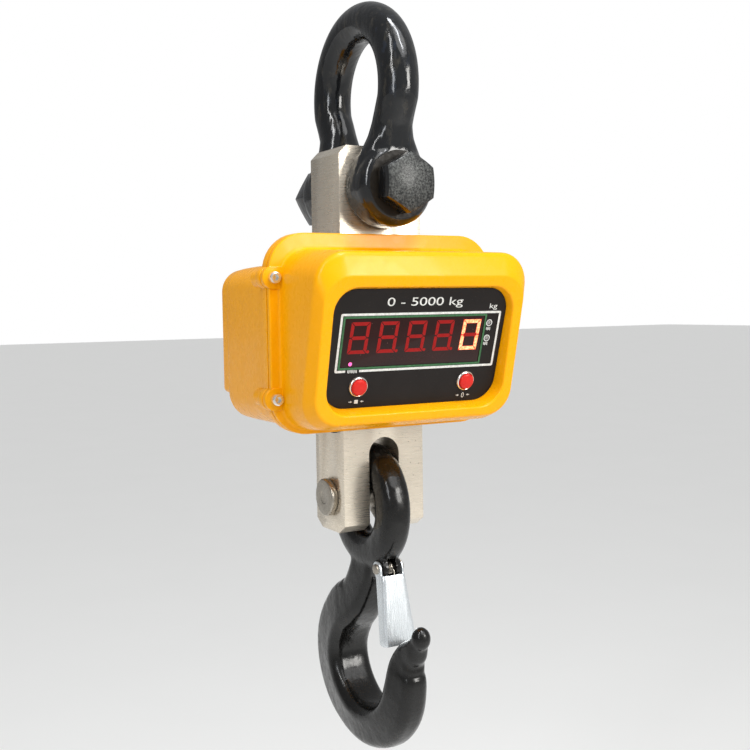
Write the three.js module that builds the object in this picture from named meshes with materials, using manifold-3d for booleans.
// Direct-view crane scale of the 5 t class: a bow shackle carries a machined load-cell column,
// a glossy housing with a tilted LED display sits round the column, and an eye hook with a
// sprung safety latch hangs from a pin in the column's lower clevis.
// Millimetres. Origin: the hang point at the top of the bow's inside. +Z up, display faces -Y.
import * as THREE from "three";
import { mergeVertices } from "three/addons/utils/BufferGeometryUtils.js";
import Module from "manifold-3d";

const wasm = await Module();
wasm.setup();

// ---------- driving dimensions ----------
const GAP = 0.3;                       // kept between pieces that touch

const BOW = { r: 19, arc: 67, centreZ: -48 };
const EAR = { inner: 31, outer: 67, r: 38.5, faceR: 29.5 };
const BOLT = { z: -142, r: 15, headFlats: 48, headFrom: -67.4, headTo: -90, end: 108 };
const NUT = { flats: 54, from: 67.4, to: 97, castleR: 21, castleTo: 106 };
const COTTER = { y: 102, r: 2.6 };

const COLUMN = { w: 88, d: 60, top: -103, bottom: -473, topChamfer: 8, footY: 12, footZ: 8 };
const SLOT = { half: 16.6, roundZ: -398 };
const PIN = { z: -440, r: 15.3, headR: 18.2, headTo: -51.5 };
const POCKET = { r: 20, depth: 8, z: -283 };

const EYE = { hole: 28, outer: 63, halfWidth: 15.2 };
const EYE_Z = PIN.z + PIN.r + GAP - EYE.hole;
const LATCH_PIVOT = { y: -35, z: -509 };
const LATCH = { topZ: -514, topY: -47, bottomZ: -579.5, bottomY: -59.1, topHalf: 13, bottomHalf: 18.4 };
const LATCH_SHEET = 2;

const FLANGE = { halfWidth: 121, low: -371.7, high: -186.2, r: 36 };
const FLANGE_Y = { front: -38, split: -32, back: -21 };
const BODY = { halfWidth: 110.5, low: -367.5, high: -201.5, r: 28 };
const WALL = 3;
const LUG = { x: 117, zs: [-227.2, -337.7], r: 10.5 };
const BRACKET = { low: -247, high: -216.5, boltZ: -239, screwX: 71, screwZ: -223 };

const DISPLAY = { y: -97.75, z: -286.7, tilt: 16.93 };
const PANEL = { halfWidth: 91.2, low: -61.6, high: 49.6, r: 22, thick: 2.5 };
const WINDOW = { left: -78.5, right: 69.5, low: -23, high: 23.5 };
const DIGIT = { first: -60.8, pitch: 29.4, w: 27.4, h: 38, d: 8, midU: 3.6 };
const LAMP = { x: 74.6, us: [15.8, 0.8] };
const BUTTON = { u: -41, xs: { tare: -57.5, zero: 57.5 }, capR: 7.6, collarR: 9.6 };

// ---------- colours ----------
const paint = (color, roughness, metalness) =>
  new THREE.MeshStandardMaterial({ color, roughness, metalness });
const MATERIAL = {
  blackPaint: paint(0x15171a, 0.25, 0.3),
  darkSteel: paint(0x33373a, 0.45, 0.7),
  nickel: paint(0xcdbfae, 0.35, 0.8),
  steel: paint(0xb9b4aa, 0.3, 0.9),
  zinc: paint(0xd8dee2, 0.3, 0.85),
  yellow: paint(0xf5b60c, 0.25, 0.0),
  rubber: paint(0x1c1c1c, 0.85, 0.0),
  panel: paint(0x171416, 0.35, 0.0),
  window: paint(0x3a0508, 0.15, 0.0),
  board: paint(0x1f6a35, 0.5, 0.0),
  digit: paint(0xc0242a, 0.4, 0.0),
  red: paint(0xd32f2f, 0.35, 0.0),
  magenta: paint(0xe0308a, 0.3, 0.0),
  white: paint(0xe6e6e6, 0.5, 0.0),
  battery: paint(0x2b2e33, 0.5, 0.0),
};

// ---------- geometry helpers ----------
const part = new THREE.Group();

function addTo(group, name, geometry, material) {
  const mesh = new THREE.Mesh(geometry, material);
  mesh.name = name;
  group.add(mesh);
}

function solidOf(geometry) {
  const bare = geometry.index ? geometry.toNonIndexed() : geometry.clone();
  bare.deleteAttribute("normal");
  bare.deleteAttribute("uv");
  const merged = mergeVertices(bare, 1e-4);
  const vertProperties = new Float32Array(merged.attributes.position.array);
  const corners = merged.index.array;
  const kept = [];
  for (let i = 0; i < corners.length; i += 3) {
    const [a, b, c] = [corners[i], corners[i + 1], corners[i + 2]];
    if (a !== b && b !== c && c !== a) kept.push(a, b, c);
  }
  const triVerts = new Uint32Array(kept);
  return new wasm.Manifold(new wasm.Mesh({ numProp: 3, vertProperties, triVerts }));
}

function geometryOf(solid) {
  const mesh = solid.getMesh();
  const geometry = new THREE.BufferGeometry();
  geometry.setAttribute("position", new THREE.BufferAttribute(new Float32Array(mesh.vertProperties), 3));
  geometry.setIndex(new THREE.BufferAttribute(new Uint32Array(mesh.triVerts), 1));
  geometry.computeVertexNormals();
  return geometry;
}

const join = (...solids) => solids.reduce((sum, next) => sum.add(next));
const cut = (body, ...tools) => tools.reduce((left, tool) => left.subtract(tool), body);

function box(x0, x1, y0, y1, z0, z1) {
  const geometry = new THREE.BoxGeometry(x1 - x0, y1 - y0, z1 - z0);
  return geometry.translate((x0 + x1) / 2, (y0 + y1) / 2, (z0 + z1) / 2);
}

// Round or polygonal bar from one place to another along one axis.
function bar(axis, radius, from, to, [a, b], sides = 24, turn = 0) {
  const geometry = new THREE.CylinderGeometry(radius, radius, Math.abs(to - from), sides);
  geometry.rotateY(turn);
  const middle = (from + to) / 2;
  if (axis === "x") return geometry.rotateZ(-Math.PI / 2).translate(middle, a, b);
  if (axis === "y") return geometry.translate(a, middle, b);
  return geometry.rotateX(Math.PI / 2).translate(a, b, middle);
}

// Turned piece: profile of [radius, height] pairs, height running along the named axis.
function turned(axis, profile, [a, b], sides = 24) {
  const area = profile.reduce((sum, [r, h], i) => {
    const [r2, h2] = profile[(i + 1) % profile.length];
    return sum + r * h2 - r2 * h;
  }, 0);
  const upward = area > 0 ? profile : [...profile].reverse();
  const geometry = new THREE.LatheGeometry(upward.map(([r, h]) => new THREE.Vector2(r, h)), sides);
  if (axis === "x") return geometry.rotateZ(-Math.PI / 2).translate(0, a, b);
  if (axis === "y") return geometry.translate(a, 0, b);
  return geometry.rotateX(Math.PI / 2).translate(a, b, 0);
}

// Flat sheet: an outline in the plane across one axis, extruded from one place to another.
function sheet(axis, points, from, to, holes = []) {
  const flat = (outline) => outline.map(([a, b]) => new THREE.Vector2(a, b));
  const shape = new THREE.Shape(flat(points));
  holes.forEach((hole) => shape.holes.push(new THREE.Path(flat(hole))));
  const geometry = new THREE.ExtrudeGeometry(shape, { depth: to - from, bevelEnabled: false });
  if (axis === "x") {
    // outline given as (y, z)
    const turn = new THREE.Matrix4().set(0, 0, 1, from, 1, 0, 0, 0, 0, 1, 0, 0, 0, 0, 0, 1);
    return geometry.applyMatrix4(turn);
  }
  if (axis === "y") {
    // outline given as (x, z)
    return geometry.rotateX(Math.PI / 2).translate(0, to, 0);
  }
  return geometry.translate(0, 0, from);
}

const arcPoints = (cx, cy, r, from, to, steps) => Array.from({ length: steps + 1 }, (_, i) => {
  const angle = THREE.MathUtils.degToRad(from + ((to - from) * i) / steps);
  return [cx + r * Math.cos(angle), cy + r * Math.sin(angle)];
});

// Rectangle with round corners; the two lower corners can have a radius of their own.
function roundedOutline(left, right, low, high, r, steps = 6, rLow = r) {
  return [
    ...arcPoints(right - rLow, low + rLow, rLow, -90, 0, steps),
    ...arcPoints(right - r, high - r, r, 0, 90, steps),
    ...arcPoints(left + r, high - r, r, 90, 180, steps),
    ...arcPoints(left + rLow, low + rLow, rLow, 180, 270, steps),
  ];
}

// Skin through rings of equal count: joined end to start, or closed by a fan on each end ring.
function loft(rings, joined = false) {
  const n = rings[0].length;
  const positions = rings.flat().flatMap((p) => [p.x, p.y, p.z]);
  const faces = [];
  const last = joined ? rings.length : rings.length - 1;
  for (let i = 0; i < last; i += 1) {
    const next = (i + 1) % rings.length;
    for (let k = 0; k < n; k += 1) {
      const kk = (k + 1) % n;
      faces.push(i * n + k, next * n + k, next * n + kk, i * n + k, next * n + kk, i * n + kk);
    }
  }
  if (!joined) {
    [0, rings.length - 1].forEach((i, end) => {
      const centre = rings[i].reduce((sum, p) => sum.add(p), new THREE.Vector3()).divideScalar(n);
      const c = positions.length / 3;
      positions.push(centre.x, centre.y, centre.z);
      for (let k = 0; k < n; k += 1) {
        const kk = (k + 1) % n;
        faces.push(...(end ? [i * n + kk, i * n + k, c] : [i * n + k, i * n + kk, c]));
      }
    });
  }
  const geometry = new THREE.BufferGeometry();
  geometry.setAttribute("position", new THREE.Float32BufferAttribute(positions, 3));
  geometry.setIndex(signedVolume(positions, faces) < 0 ? faces.reverse() : faces);
  geometry.computeVertexNormals();
  return geometry;
}

function signedVolume(positions, faces) {
  const corner = (i) => new THREE.Vector3().fromArray(positions, i * 3);
  let volume = 0;
  for (let i = 0; i < faces.length; i += 3) {
    volume += corner(faces[i]).dot(corner(faces[i + 1]).cross(corner(faces[i + 2])));
  }
  return volume;
}

// Outline of [x, u] pairs laid on a plane whose top leans forward by the tilt.
const onPlane = (outline, y, z, tilt) => outline.map(([x, u]) => {
  const angle = THREE.MathUtils.degToRad(tilt);
  return new THREE.Vector3(x, y - u * Math.sin(angle), z + u * Math.cos(angle));
});

function tube(points, radius, sides, steps) {
  const path = new THREE.CatmullRomCurve3(points.map((p) => new THREE.Vector3(...p)));
  const round = arcPoints(0, 0, radius, 0, 360 - 360 / sides, sides - 1);
  const section = new THREE.Shape(round.map(([a, b]) => new THREE.Vector2(a, b)));
  return new THREE.ExtrudeGeometry(section, { steps, extrudePath: path, bevelEnabled: false });
}

// ---------- shackle ----------
// Stations of the bow's half in the YZ plane: centre, direction across, thickness in plane and along X.
function bowRings() {
  const ring = (y, z, angle, inPlane, alongX) => {
    const n = 18;
    const across = new THREE.Vector3(0, Math.cos(angle), Math.sin(angle));
    return Array.from({ length: n }, (_, k) => {
      const turn = (2 * Math.PI * k) / n;
      return new THREE.Vector3(alongX * Math.sin(turn), y, z).addScaledVector(across, inPlane * Math.cos(turn));
    });
  };
  const half = [];
  for (let degree = 90; degree >= -12; degree -= 8.5) {
    const angle = THREE.MathUtils.degToRad(degree);
    half.push([BOW.arc * Math.cos(angle), BOW.centreZ + BOW.arc * Math.sin(angle), angle, BOW.r, BOW.r]);
  }
  const legs = [
    [59.5, -74, -0.42, 18.8, 18.8],
    [54.6, -85, -0.22, 18.6, 19.4],
    [51.6, -97, -0.1, 18.4, 23.5],
    [50, -107, 0, 17.8, 29],
    [49, -117, 0, 17.4, 34],
    [48.5, -128, 0, 17.2, 37],
  ];
  half.push(...legs);
  const right = half.map(([y, z, angle, p, a]) => ring(y, z, angle, p, a));
  const left = half.slice(1).map(([y, z, angle, p, a]) => ring(-y, z, Math.PI - angle, p, a));
  return [...left.reverse(), ...right];
}

function shackleEar(side) {
  const { inner, outer, r, faceR } = EAR;
  const profile = [[0, inner], [r - 2, inner], [r, inner + 2], [r, outer - 8], [r - 1.2, outer - 4],
    [r - 4, outer - 1.5], [faceR + 2.5, outer], [0, outer]];
  return turned("y", profile.map(([a, h]) => [a, h * side]), [0, BOLT.z], 32);
}

function shackleBow() {
  const body = join(solidOf(loft(bowRings())), solidOf(shackleEar(1)), solidOf(shackleEar(-1)));
  const bore = solidOf(bar("y", BOLT.r + 0.4, -80, 80, [0, BOLT.z], 28));
  const spotFaces = [-1, 1].map((s) => {
    return solidOf(bar("y", EAR.faceR + 1.5, s * EAR.outer, s * (EAR.outer + 12), [0, BOLT.z], 28));
  });
  return geometryOf(cut(body, bore, ...spotFaces));
}

const hexRadius = (flats) => flats / Math.sqrt(3);

// Hexagon bar along Y, centred on the bolt.
function hexBar(flats, from, to, turn = 0) {
  return solidOf(bar("y", flats / Math.sqrt(3), from, to, [0, BOLT.z], 6, turn));
}

function shackleBolt() {
  const chamferY = BOLT.headTo + 1.5;
  const shank = solidOf(bar("y", BOLT.r, BOLT.headFrom - 1, BOLT.end, [0, BOLT.z], 28));
  const washerFace = solidOf(bar("y", 22.5, BOLT.headFrom, BOLT.headFrom - 2, [0, BOLT.z], 28));
  const head = hexBar(BOLT.headFlats, BOLT.headFrom - 2, chamferY);
  const cone = turned("y", [[0, chamferY], [25, chamferY], [21.5, BOLT.headTo], [0, BOLT.headTo]], [0, BOLT.z]);
  const crown = solidOf(cone).intersect(hexBar(BOLT.headFlats, chamferY, BOLT.headTo - 1));
  const pinHole = solidOf(bar("z", COTTER.r + 0.4, BOLT.z - 20, BOLT.z + 20, [0, COTTER.y], 12));
  return geometryOf(cut(join(shank, washerFace, head, crown), pinHole));
}

// Castle nut: a hexagon and a round crown with three slots, one of them upright for the split pin.
function shackleNut() {
  const hex = hexBar(NUT.flats, NUT.from, NUT.to, Math.PI / 6);
  const castle = solidOf(bar("y", NUT.castleR, NUT.to - 0.5, NUT.castleTo, [0, BOLT.z], 24));
  const bore = solidOf(bar("y", BOLT.r + GAP, NUT.from - 1, NUT.castleTo + 2, [0, BOLT.z], 28));
  const slots = [0, 1, 2].map((k) => {
    const slot = box(-3.6, 3.6, NUT.to + 1.5, NUT.castleTo + 3, -30, 30);
    return solidOf(slot.rotateY((k * Math.PI) / 3).translate(0, 0, BOLT.z));
  });
  return geometryOf(cut(join(hex, castle), bore, ...slots));
}

// Split pin through the upright slot, its eye on top and its end bent over below.
function cotterPin() {
  const { y, r } = COTTER;
  const shank = solidOf(bar("z", r, BOLT.z - 27.5, BOLT.z + 26, [0, y], 12));
  const loop = new THREE.TorusGeometry(4.6, 1.7, 8, 16).rotateX(Math.PI / 2).translate(0, y, BOLT.z + 29);
  const tail = solidOf(box(-2.2, 2.2, y, y + 6, BOLT.z - 27.5, BOLT.z - 25.3));
  return geometryOf(join(shank, solidOf(loop), tail));
}

function buildShackle() {
  addTo(part, "shackle_bow", shackleBow(), MATERIAL.blackPaint);
  addTo(part, "shackle_bolt", shackleBolt(), MATERIAL.darkSteel);
  addTo(part, "shackle_nut", shackleNut(), MATERIAL.darkSteel);
  addTo(part, "shackle_cotter_pin", cotterPin(), MATERIAL.zinc);
}

// ---------- load cell ----------
function loadCell() {
  const half = COLUMN.w / 2;
  const depth = COLUMN.d / 2;
  const c = COLUMN.topChamfer;
  const front = sheet("y", [[-half, COLUMN.bottom], [half, COLUMN.bottom], [half, COLUMN.top - c],
    [half - c, COLUMN.top], [-half + c, COLUMN.top], [-half, COLUMN.top - c]], -depth, depth);
  const side = sheet("x", [[-depth + COLUMN.footY, COLUMN.bottom], [depth - COLUMN.footY, COLUMN.bottom],
    [depth, COLUMN.bottom + COLUMN.footZ], [depth, COLUMN.top + 1], [-depth, COLUMN.top + 1],
    [-depth, COLUMN.bottom + COLUMN.footZ]], -half - 1, half + 1);
  const slot = join(
    solidOf(box(-SLOT.half, SLOT.half, -depth - 1, depth + 1, COLUMN.bottom - 1, SLOT.roundZ)),
    solidOf(bar("y", SLOT.half, -depth - 1, depth + 1, [0, SLOT.roundZ], 32)),
  );
  const outside = half + 1;
  const floor = half - POCKET.depth;
  const pockets = [-1, 1].map((s) => bar("x", POCKET.r, s * floor, s * outside, [0, POCKET.z], 28));
  const bracketHoles = [-1, 1].map((s) => bar("x", 3.3, s * (half - 14), s * outside, [0, BRACKET.boltZ], 12));
  return geometryOf(cut(
    solidOf(front).intersect(solidOf(side)), slot,
    solidOf(bar("y", BOLT.r + 0.5, -depth - 1, depth + 1, [0, BOLT.z], 28)),
    solidOf(bar("x", PIN.r + 0.4, -half - 1, half + 1, [0, PIN.z], 28)),
    ...[...pockets, ...bracketHoles].map(solidOf),
  ));
}

function buildLoadCell() {
  addTo(part, "load_cell", loadCell(), MATERIAL.nickel);
  const face = COLUMN.w / 2;
  [[-1, "left"], [1, "right"]].forEach(([side, word]) => {
    const floor = side * (face - POCKET.depth);
    const gauge = [floor + side * GAP, floor + side * (GAP + 1)].sort((a, b) => a - b);
    addTo(part, `strain_gauge_${word}`, box(...gauge, -6, 6, POCKET.z - 9, POCKET.z + 9), MATERIAL.digit);
    const lid = bar("x", POCKET.r - GAP, side * (face - 2.2), side * (face - 0.4), [0, POCKET.z], 28);
    const hole = bar("x", 3.2, side * (face - 4), side * (face + 4), [-11, POCKET.z], 12);
    const cover = word === "right" ? geometryOf(cut(solidOf(lid), solidOf(hole))) : lid;
    addTo(part, `gauge_cover_${word}`, cover, MATERIAL.zinc);
  });
  const route = [[-4.5, -11, 0], [3, -11, 0], [9, -20, 4], [8, -36, 14], [2, -50, 20]];
  const places = route.map(([x, y, z]) => [face + x, y, POCKET.z + z]);
  addTo(part, "cell_cable", tube(places, 2.4, 8, 28), MATERIAL.rubber);
}

// ---------- hook pin ----------
function buildHookPin() {
  const face = COLUMN.w / 2;
  const { r, headR, headTo, z } = PIN;
  const head = [[0, headTo], [headR - 1.5, headTo], [headR, headTo + 1.5], [headR, -face - 2.4],
    [r + 1.4, -face - 2.4], [r + 1.4, -face - GAP]];
  const groove = [[r, face + 2.9], [13.4, face + 2.9], [13.4, face + 5.4], [r, face + 5.4]];
  const end = [[r, face + 8], [r - 1.5, face + 9.5], [0, face + 9.5]];
  const profile = [...head, [r, -face - GAP], ...groove, ...end];
  addTo(part, "hook_pin", turned("x", profile, [0, z], 28), MATERIAL.steel);
  const washer = cut(solidOf(bar("x", 21, face + GAP, face + 2.6, [0, z], 28)),
    solidOf(bar("x", r + 0.4, face - 1, face + 4, [0, z], 28)));
  addTo(part, "hook_pin_washer", geometryOf(washer), MATERIAL.zinc);
  const clip = cut(solidOf(bar("x", 18.8, face + 3.2, face + 5.1, [0, z], 28)),
    solidOf(bar("x", 13.7, face + 1, face + 7, [0, z], 28)), solidOf(box(face, face + 8, -4, 4, z - 22, z)));
  addTo(part, "hook_pin_clip", geometryOf(clip), MATERIAL.darkSteel);
}

// ---------- hook ----------
// Stations along the inside of the hook, neck to tip: y, z, depth outward, half-width inside and outside,
// corner radii inside and outside.
const HOOK_STATIONS = [
  [-19, -494, 44, 12.5, 13.5, 9, 12.5],
  [-19, -513, 45, 13, 14, 9, 13],
  [-14, -531, 44, 14, 15, 9, 13],
  [1, -559, 46, 18, 16, 10, 13],
  [17, -576, 50, 21, 17, 11, 13],
  [34, -591, 53, 23, 17, 11, 13],
  [44, -613, 57, 23, 17, 11, 13],
  [36, -634, 55, 23, 17, 11, 13],
  [18, -649, 48, 23, 17, 11, 13],
  [-3, -654, 43, 22, 17, 11, 13],
  [-26, -648, 41, 21, 16, 11, 13],
  [-42, -633, 40, 20, 16, 11, 12],
  [-50, -613, 39, 19, 15, 11, 12],
  [-55, -592, 35, 16, 13, 10, 11],
  [-66, -576, 30, 13, 12, 9, 10],
  [-79, -567.5, 24, 11, 11, 9, 9],
  [-89, -561.5, 14, 9, 9, 6.5, 6.5],
];

function hookSection(depth, inside, outside, rIn, rOut) {
  return [
    ...arcPoints(rIn, inside - rIn, rIn, 180, 90, 3),
    ...arcPoints(depth - rOut, outside - rOut, rOut, 80, 0, 3),
    ...arcPoints(depth - rOut, -(outside - rOut), rOut, -15, -80, 3),
    ...arcPoints(rIn, -(inside - rIn), rIn, -90, -180, 3),
  ];
}

function hookRings(steps) {
  const places = HOOK_STATIONS.map(([y, z]) => new THREE.Vector3(0, y, z));
  const spine = new THREE.CatmullRomCurve3(places, false, "centripetal");
  const last = HOOK_STATIONS.length - 1;
  return Array.from({ length: steps + 1 }, (_, i) => {
    const t = i / steps;
    const place = spine.getPoint(t);
    const along = spine.getTangent(t);
    const out = new THREE.Vector3(0, -along.z, along.y);
    const k = Math.min(Math.floor(t * last), last - 1);
    const mix = t * last - k;
    const [here, next] = [HOOK_STATIONS[k], HOOK_STATIONS[k + 1]];
    const size = [2, 3, 4, 5, 6].map((c) => THREE.MathUtils.lerp(here[c], next[c], mix));
    return hookSection(...size).map(([s, x]) => place.clone().addScaledVector(out, s).setX(x));
  });
}

// The eye is a ring with a boxy, well rounded section.
function hookEye() {
  const middle = (EYE.outer + EYE.hole) / 2;
  const radial = (EYE.outer - EYE.hole) / 2;
  const section = Array.from({ length: 16 }, (_, k) => {
    const angle = (2 * Math.PI * (k + 0.5)) / 16;
    const bulge = (v) => Math.sign(v) * Math.abs(v) ** 0.75;
    return [radial * bulge(Math.cos(angle)), EYE.halfWidth * bulge(Math.sin(angle))];
  });
  const rings = Array.from({ length: 40 }, (_, i) => {
    const angle = (2 * Math.PI * i) / 40;
    const round = (x, r) => new THREE.Vector3(x, r * Math.cos(angle), EYE_Z + r * Math.sin(angle));
    return section.map(([s, x]) => round(x, middle + s));
  });
  return loft(rings, true);
}

function hookTip() {
  const ball = new THREE.SphereGeometry(10.5, 16, 10);
  return ball.scale(0.9, 0.85, 1.1).translate(0, -94.5, -564);
}

function hook() {
  const { y, z } = LATCH_PIVOT;
  const lug = sheet("x", [...arcPoints(y, z, 9.5, 100, 260, 10), [-12, z - 14], [-12, z + 14]], -10, 10);
  const springSlot = box(-4.6, 4.6, y - 12, y + 9.5, z - 12, z + 10.5);
  const body = join(solidOf(hookEye()), solidOf(loft(hookRings(40))), solidOf(lug), solidOf(hookTip()));
  return geometryOf(cut(body, solidOf(springSlot), solidOf(bar("x", 3.4, -30, 30, [y, z], 16))));
}

// ---------- latch ----------
function latch() {
  const { topZ, topY, bottomZ, bottomY, topHalf, bottomHalf } = LATCH;
  const t = LATCH_SHEET;
  const { y, z } = LATCH_PIVOT;
  const lean = (topY - bottomY) / (topZ - bottomZ);
  const spread = (bottomHalf - topHalf) / (topZ - bottomZ);
  const widen = (geometry, side) => {
    const p = geometry.attributes.position;
    for (let i = 0; i < p.count; i += 1) {
      p.setX(i, p.getX(i) + side * spread * Math.max(0, topZ - p.getZ(i)));
    }
    return geometry;
  };
  const cheek = [[bottomY, bottomZ], [topY, topZ], [topY + 0.5, topZ + 3], ...arcPoints(y, z, 7.5, 150, -20, 8),
    [topY + 13, topZ - 4], [bottomY + 10, bottomZ + 1.5], [bottomY + 8, bottomZ]].reverse();
  const left = widen(sheet("x", cheek, -topHalf, -topHalf + t), -1);
  const right = widen(sheet("x", cheek, topHalf - t, topHalf), 1);
  const web = sheet("y", [[0.2 - bottomHalf, bottomZ], [bottomHalf - 0.2, bottomZ], [topHalf - 0.2, topZ],
    [0.2 - topHalf, topZ]], 0, t);
  const p = web.attributes.position;
  for (let i = 0; i < p.count; i += 1) {
    p.setY(i, p.getY(i) + topY + lean * (p.getZ(i) - topZ));
  }
  const hole = solidOf(bar("x", 3.3, -20, 20, [y, z], 16));
  return geometryOf(cut(join(solidOf(left), solidOf(right), solidOf(web)), hole));
}

function latchSpring() {
  const { y, z } = LATCH_PIVOT;
  const coils = 3;
  const wire = [[3, webFace(-36) + 3.4, z - 36], [3, y - 8, z - 14]];
  for (let i = 0; i <= coils * 10; i += 1) {
    const angle = Math.PI + (2 * Math.PI * i) / 10;
    wire.push([3 - (6 * i) / (coils * 10), y + 5.4 * Math.cos(angle), z + 5.4 * Math.sin(angle)]);
  }
  return tube(wire, 0.8, 6, 90);
}

// Y of the web's outer face at a height measured from the pivot.
function webFace(drop) {
  const lean = (LATCH.topY - LATCH.bottomY) / (LATCH.topZ - LATCH.bottomZ);
  return LATCH.topY + lean * (LATCH_PIVOT.z + drop - LATCH.topZ);
}

function buildHook() {
  const { y, z } = LATCH_PIVOT;
  addTo(part, "hook", hook(), MATERIAL.blackPaint);
  addTo(part, "latch", latch(), MATERIAL.zinc);
  const end = [[0, -15.4], [4.6, -15.4], [5, -14.4], [5, -13.3], [3, -13.3]];
  const otherEnd = end.map(([r, x]) => [r, -x]).reverse();
  addTo(part, "latch_pin", turned("x", [...end, ...otherEnd], [y, z], 16), MATERIAL.steel);
  addTo(part, "latch_spring", latchSpring(), MATERIAL.steel);
}

// ---------- housing ----------
const upright = (half, low, high, r, y, rLow = r) =>
  onPlane(roundedOutline(-half, half, low, high, r, 6, rLow), y, 0, 0);
const flangeRing = (y) => upright(FLANGE.halfWidth, FLANGE.low, FLANGE.high, FLANGE.r, y);

// A ring of the display recess, measured in the tilted display's own height u and depth h.
function tilted(half, low, high, r, depth) {
  const angle = THREE.MathUtils.degToRad(DISPLAY.tilt);
  const y = DISPLAY.y - depth * Math.cos(angle);
  const z = DISPLAY.z - depth * Math.sin(angle);
  return onPlane(roundedOutline(-half, half, low, high, r), y, z, DISPLAY.tilt);
}

function frontCover() {
  const { split, front } = FLANGE_Y;
  const panelRing = (depth) => tilted(PANEL.halfWidth + GAP, PANEL.low - GAP, PANEL.high + GAP, PANEL.r, depth);
  const ledge = -PANEL.thick - GAP;
  const inner = (y) => upright(BODY.halfWidth - WALL, BODY.low + WALL, BODY.high - WALL, BODY.r - WALL, y);
  const rings = [
    flangeRing(split - 1),
    flangeRing(front),
    upright(BODY.halfWidth, BODY.low, BODY.high, BODY.r, front),
    onPlane(roundedOutline(-111, 111, -81, 83, 30), -95.6, DISPLAY.z, 15),
    onPlane(roundedOutline(-104.5, 104.5, -75.3, 60.2, 25), -107.2, DISPLAY.z, 13.2),
    onPlane(roundedOutline(-94.5, 94.5, -66.6, 50.3, 24), -107.2, DISPLAY.z, 13.2),
    panelRing(0),
    panelRing(ledge),
    tilted(86, -57, 45, 18, ledge),
    tilted(86, -57, 45, 18, -6),
    tilted(107.5, -72, 74, 26, -8),
    inner(front - 2),
    inner(split - 1),
  ];
  const lugs = eachLug((x, z) => lugPlate(x, z, front - 1.5, split - 1));
  const holes = eachLug((x, z) => solidOf(bar("y", 3.4, front - 5, split + 1, [x, z], 12)));
  return geometryOf(cut(join(solidOf(loft(rings, true)), ...lugs), ...holes));
}

const eachLug = (make) => [-1, 1].flatMap((side) => LUG.zs.map((z) => make(side * LUG.x, z)));

// Ear for a screw: round outside, square where it runs into the cover's side.
function lugPlate(x, z, y0, y1) {
  const inward = x - Math.sign(x) * 8;
  const block = box(Math.min(x, inward), Math.max(x, inward), y0, y1, z - LUG.r, z + LUG.r);
  return join(solidOf(bar("y", LUG.r, y0, y1, [x, z], 20)), solidOf(block));
}

// Rear body: half-width, low, high, radius of the upper corners, y, radius of the lower corners.
// A deep step runs across underneath, and the part behind it has nearly square lower corners.
const REAR_RINGS = [
  [110.5, -367.5, -212.3, 27, FLANGE_Y.back, 28],
  [107.6, -368.6, -212.8, 26, 72, 28],
  [106.4, -368.3, -213.8, 24, 102, 27],
  [105.9, -366.3, -214.1, 23.5, 104.6, 25.5],
  [105.8, -342.4, -214.2, 23.5, 105, 5],
  [105.6, -341.8, -215, 23, 119, 5],
  [103.8, -339.5, -217, 21, 123.6, 5],
  [99.5, -335, -221.5, 17, 126, 5],
];
const REAR_INNER = [
  [92, -331, -228, 12, 117.5, 5],
  [101, -337, -219, 18, 112, 5],
  [102.4, -338.6, -217.6, 20, 101.6, 5],
  [102.4, -339.4, -217.6, 20, 101, 5],
  [102.8, -364.8, -217.4, 20, 100, 24],
  [104.4, -365.2, -216.2, 22, 72, 25],
  [107.5, -364.5, -215.8, 24, FLANGE_Y.back, 25],
];
const DOOR = { half: 68, low: -327, high: -239, r: 9, thick: 3 };
const BACK_Y = 126;
const SOCKET = { x: 83, z: -300 };

function rearCover() {
  const { split, back } = FLANGE_Y;
  const shellY = split + 1;
  const shell = loft([
    ...REAR_INNER.map((row) => upright(...row)),
    upright(107.5, -364.5, -215.8, 24, shellY, 25),
    flangeRing(shellY),
    flangeRing(back),
    ...REAR_RINGS.map((row) => upright(...row)),
  ]);
  const lugs = eachLug((x, z) => lugPlate(x, z, shellY, back));
  const bosses = eachLug((x, z) => solidOf(bar("y", 8.5, shellY, 1, [x - Math.sign(x) * 2, z], 20)));
  const pads = bracketPlaces().map(([x, z]) => solidOf(box(x - 9, x + 9, -8, 6, z - 9, z + 9.5)));
  const body = join(solidOf(shell), ...lugs, ...bosses, ...pads);
  return geometryOf(cut(body, ...rearCoverHoles(shellY).map(solidOf)));
}

function rearCoverHoles(shellY) {
  const beside = COLUMN.w / 2 + 1.5;
  const wide = DOOR.half + GAP;
  const recess = roundedOutline(-wide, wide, DOOR.low - GAP, DOOR.high + GAP, DOOR.r + GAP, 4);
  return [
    ...eachLug((x, z) => bar("y", 3.4, shellY - 1, -10, [x, z], 12)),
    box(-beside, beside, -40, COLUMN.d / 2 + 1.5, -400, -150),
    sheet("y", roundedOutline(-58, 58, DOOR.low + 10, DOOR.high - 10, 5, 3), 100, 140),
    sheet("y", recess, BACK_Y - DOOR.thick - GAP, 140),
    bar("y", 8.3, 90, 140, [SOCKET.x, SOCKET.z], 16),
    ...doorScrewPlaces().map((place) => bar("y", 2.4, 110, 140, place, 10)),
    ...bracketPlaces().map((place) => bar("y", 2.4, -20, 4, place, 10)),
  ];
}

const doorScrewPlaces = () => [-1, 1].flatMap((s) => [DOOR.low + 5, DOOR.high - 5].map((z) => [s * 62.5, z]));
const bracketPlaces = () => [-1, 1].map((s) => [s * BRACKET.screwX, BRACKET.screwZ]);

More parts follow.
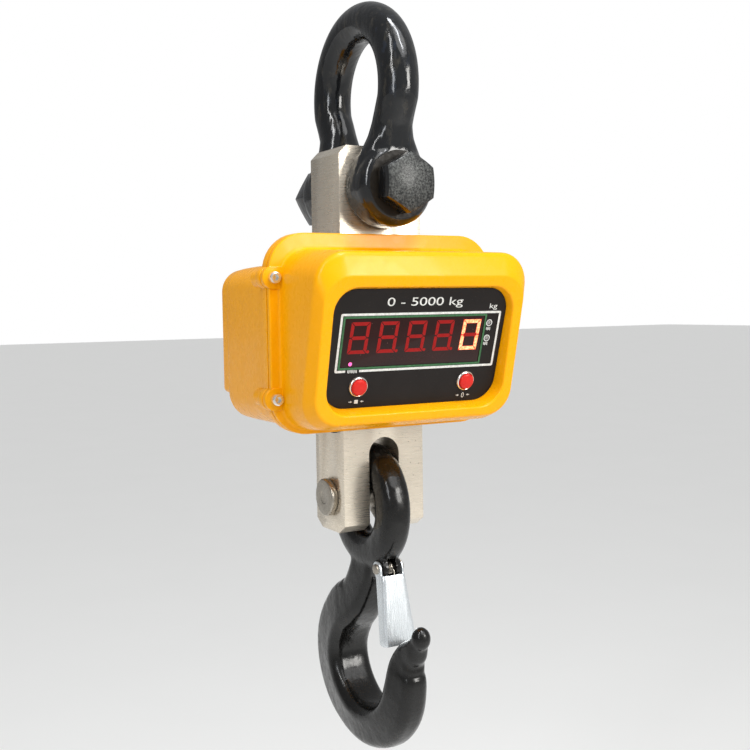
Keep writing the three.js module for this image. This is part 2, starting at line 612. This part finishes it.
// Socket-head screw along Y, its head towards -Y.
function socketScrew(x, z, headR, headLength, shankR, headFrontY, tipY) {
  const seat = headFrontY + headLength;
  const profile = [[0, headFrontY], [headR - 0.6, headFrontY], [headR, headFrontY + 0.6], [headR, seat],
    [shankR, seat], [shankR, tipY], [0, tipY]];
  const socket = bar("y", headR * 0.55, headFrontY - 1, headFrontY + headLength * 0.6, [x, z], 6);
  return geometryOf(cut(solidOf(turned("y", profile, [x, z], 20)), solidOf(socket)));
}

function coverGasket() {
  const outer = roundedOutline(-113, 113, FLANGE.low + 3, FLANGE.high - 3, 32);
  const inner = roundedOutline(-109.4, 109.4, FLANGE.low + 6.6, FLANGE.high - 6.6, 28).reverse();
  return sheet("y", outer, FLANGE_Y.split - 0.7, FLANGE_Y.split + 0.7, [inner]);
}

// Rubber strip round three sides of the column, lying on the rear cover.
function columnSeal(z0, z1) {
  const inner = COLUMN.w / 2 + GAP;
  const y = COLUMN.d / 2 + GAP;
  const front = FLANGE_Y.back + 0.5;
  const right = [[inner, y], [inner, front], [inner + 6, front], [inner + 6, y + 6]];
  const left = right.map(([a, b]) => [-a, b]).reverse();
  return sheet("z", [...right, ...left].reverse(), z0, z1);
}

function bracket(side) {
  const inner = COLUMN.w / 2 + GAP;
  const outline = [[inner, 18], [inner, -11.3], [79, -11.3], [79, -8.3], [inner + 3, -8.3], [inner + 3, 18]];
  const mirrored = side > 0 ? outline : outline.map(([x, y]) => [-x, y]).reverse();
  const plate = solidOf(sheet("z", mirrored, BRACKET.low, BRACKET.high));
  const toColumn = solidOf(bar("x", 3.3, side * 40, side * 60, [0, BRACKET.boltZ], 12));
  const toHousing = solidOf(bar("y", 2.8, -20, 0, [side * BRACKET.screwX, BRACKET.screwZ], 12));
  return geometryOf(cut(plate, toColumn, toHousing));
}

function buildHousing() {
  addTo(part, "front_cover", frontCover(), MATERIAL.yellow);
  addTo(part, "rear_cover", rearCover(), MATERIAL.yellow);
  addTo(part, "cover_gasket", coverGasket(), MATERIAL.rubber);
  addTo(part, "column_seal_top", columnSeal(-212, -206.8), MATERIAL.rubber);
  addTo(part, "column_seal_bottom", columnSeal(-375, -369.4), MATERIAL.rubber);
  eachLug((x, z) => [x, z]).forEach(([x, z], i) => {
    const front = FLANGE_Y.front - 1.5 - GAP;
    addTo(part, `cover_screw_${i + 1}`, socketScrew(x, z, 5.4, 5.4, 3, front - 5.4, -12), MATERIAL.steel);
  });
  [[-1, "left"], [1, "right"]].forEach(([side, word]) => {
    addTo(part, `housing_bracket_${word}`, bracket(side), MATERIAL.zinc);
    const screw = socketScrew(side * BRACKET.screwX, BRACKET.screwZ, 4.2, 3.6, 2.1, -15.2, 2);
    addTo(part, `bracket_screw_${word}`, screw, MATERIAL.steel);
    const seat = side * (COLUMN.w / 2 + 2 * GAP + 3);
    const head = seat + side * 4;
    const bolt = [[0, head], [5.2, head], [5.2, seat], [3, seat], [3, side * 32], [0, side * 32]];
    addTo(part, `bracket_bolt_${word}`, turned("x", bolt, [0, BRACKET.boltZ], 12), MATERIAL.steel);
  });
}

// ---------- battery, door and charge socket ----------
function buildBattery() {
  addTo(part, "battery", sheet("z", roundedOutline(-50, 50, 52, 97, 3, 2), -330, -236), MATERIAL.battery);
  const tray = sheet("x", [[49, -334], [100, -334], [100, -332], [51, -332], [51, -318], [49, -318]], -52, 52);
  addTo(part, "battery_tray", tray, MATERIAL.zinc);
  const route = [[38, 60, -235.3], [40, 58, -226], [54, 44, -224], [60, 26, -232], [60, 0, -250],
    [56, -28, -256], [50, -52, -258]];
  addTo(part, "battery_lead", tube(route, 2.2, 8, 40), MATERIAL.rubber);
}

function buildDoor() {
  const { half, low, high, r, thick } = DOOR;
  const lid = solidOf(sheet("y", roundedOutline(-half, half, low, high, r, 4), BACK_Y - thick, BACK_Y));
  const holes = doorScrewPlaces().map((place) => solidOf(bar("y", 2.5, 110, 140, place, 10)));
  addTo(part, "battery_door", geometryOf(cut(lid, ...holes)), MATERIAL.yellow);
  const seat = BACK_Y + GAP;
  const screw = [[0, 116], [2.1, 116], [2.1, seat], [4.2, seat], [4.2, seat + 1.3], [3, seat + 2.1],
    [0, seat + 2.1]];
  doorScrewPlaces().forEach(([x, z], i) => {
    const slot = solidOf(box(x - 5, x + 5, seat + 1.3, seat + 3, z - 0.5, z + 0.5));
    const slotted = cut(solidOf(turned("y", screw, [x, z], 14)), slot);
    addTo(part, `door_screw_${i + 1}`, geometryOf(slotted), MATERIAL.steel);
  });
}

function buildSocket() {
  const seat = BACK_Y + GAP;
  const place = [SOCKET.x, SOCKET.z];
  const barrel = [[0, 104], [7.8, 104], [7.8, seat], [11, seat], [11, seat + 1.3], [5.5, seat + 1.3],
    [5.5, 112], [0, 112]];
  addTo(part, "charge_socket", turned("y", barrel, place, 20), MATERIAL.darkSteel);
  const brim = seat + 1.7;
  const cap = [[0, 114], [5.1, 114], [5.1, brim], [7.6, brim], [7.6, brim + 0.8], [6.8, brim + 1.6],
    [0, brim + 1.6]];
  addTo(part, "charge_socket_cap", turned("y", cap, place, 16), MATERIAL.rubber);
}

// ---------- display: built upright in its own frame, then tilted as one group ----------
// In this frame x runs right, z is the height u, and -y points out of the panel.
function displayPanel() {
  const { halfWidth, low, high, r, thick } = PANEL;
  const plate = solidOf(sheet("y", roundedOutline(-halfWidth, halfWidth, low, high, r), 0, thick));
  const opening = roundedOutline(WINDOW.left, WINDOW.right, WINDOW.low, WINDOW.high, 2, 2);
  const hole = solidOf(sheet("y", opening, -1, thick + 1));
  const lamps = LAMP.us.map((u) => solidOf(bar("y", 2.3, -1, thick + 1, [LAMP.x, u], 12)));
  const buttons = Object.values(BUTTON.xs).map((x) => solidOf(bar("y", 8.4, -1, thick + 1, [x, BUTTON.u], 24)));
  return geometryOf(cut(plate, hole, ...lamps, ...buttons));
}

function displayWindow() {
  const { left, right, low, high } = WINDOW;
  return sheet("y", roundedOutline(left + GAP, right - GAP, low + GAP, high - GAP, 1.7, 2), 0.3, 2.2);
}

// Bright collar with the cap's bore; it clamps the panel from the front.
function buttonCollar(x) {
  const profile = [[8.2, -GAP], [BUTTON.collarR, -GAP], [BUTTON.collarR, -1.2], [8.8, -2.4], [8.05, -2.4],
    [8.05, 9], [8.2, 9]];
  return turned("y", [...profile, profile[0]], [x, BUTTON.u], 24);
}

function buttonCap(x) {
  const { capR, u } = BUTTON;
  return turned("y", [[0, 6.5], [capR, 6.5], [capR, -3.4], [capR - 1.4, -4.8], [0, -5.2]], [x, u], 24);
}

function addDigits(display) {
  const { first, pitch, w, h, d, midU } = DIGIT;
  for (let i = 0; i < 5; i += 1) {
    const x = first + i * pitch;
    const block = box(x - w / 2, x + w / 2, 3.6, 3.6 + d, midU - h / 2, midU + h / 2);
    addTo(display, `digit_${i + 1}`, block, MATERIAL.digit);
  }
}

function addLamps(display) {
  const stable = [[0, 12], [1.6, 12], [1.6, 4.6], [0.8, 3.4], [0, 3]];
  addTo(display, "stable_lamp", turned("y", stable, [-68.4, -19.4], 12), MATERIAL.magenta);
  const mode = [[0, 12], [2, 12], [2, 0.2], [1.2, -0.5], [0, -0.7]];
  LAMP.us.forEach((u, i) => {
    addTo(display, `mode_lamp_${i + 1}`, turned("y", mode, [LAMP.x, u], 12), MATERIAL.white);
  });
}

function buildDisplay() {
  const display = new THREE.Group();
  display.position.set(0, DISPLAY.y, DISPLAY.z);
  display.rotation.x = THREE.MathUtils.degToRad(DISPLAY.tilt);
  part.add(display);
  addTo(display, "display_panel", displayPanel(), MATERIAL.panel);
  addTo(display, "display_window", displayWindow(), MATERIAL.window);
  addTo(display, "display_board", box(-80, 80, 12.4, 14, -22, 26), MATERIAL.board);
  addDigits(display);
  addLamps(display);
  Object.entries(BUTTON.xs).forEach(([word, x]) => {
    addTo(display, `${word}_button_collar`, buttonCollar(x), MATERIAL.zinc);
    addTo(display, `${word}_button_cap`, buttonCap(x), MATERIAL.red);
    addTo(display, `${word}_switch`, box(x - 6, x + 6, 9.4, 17, BUTTON.u - 6, BUTTON.u + 6), MATERIAL.battery);
  });
  addTo(display, "main_board", box(-78, 78, 24, 25.6, -52, 34), MATERIAL.board);
}

buildShackle();
buildLoadCell();
buildHookPin();
buildHook();
buildHousing();
buildBattery();
buildDoor();
buildSocket();
buildDisplay();

export default part;
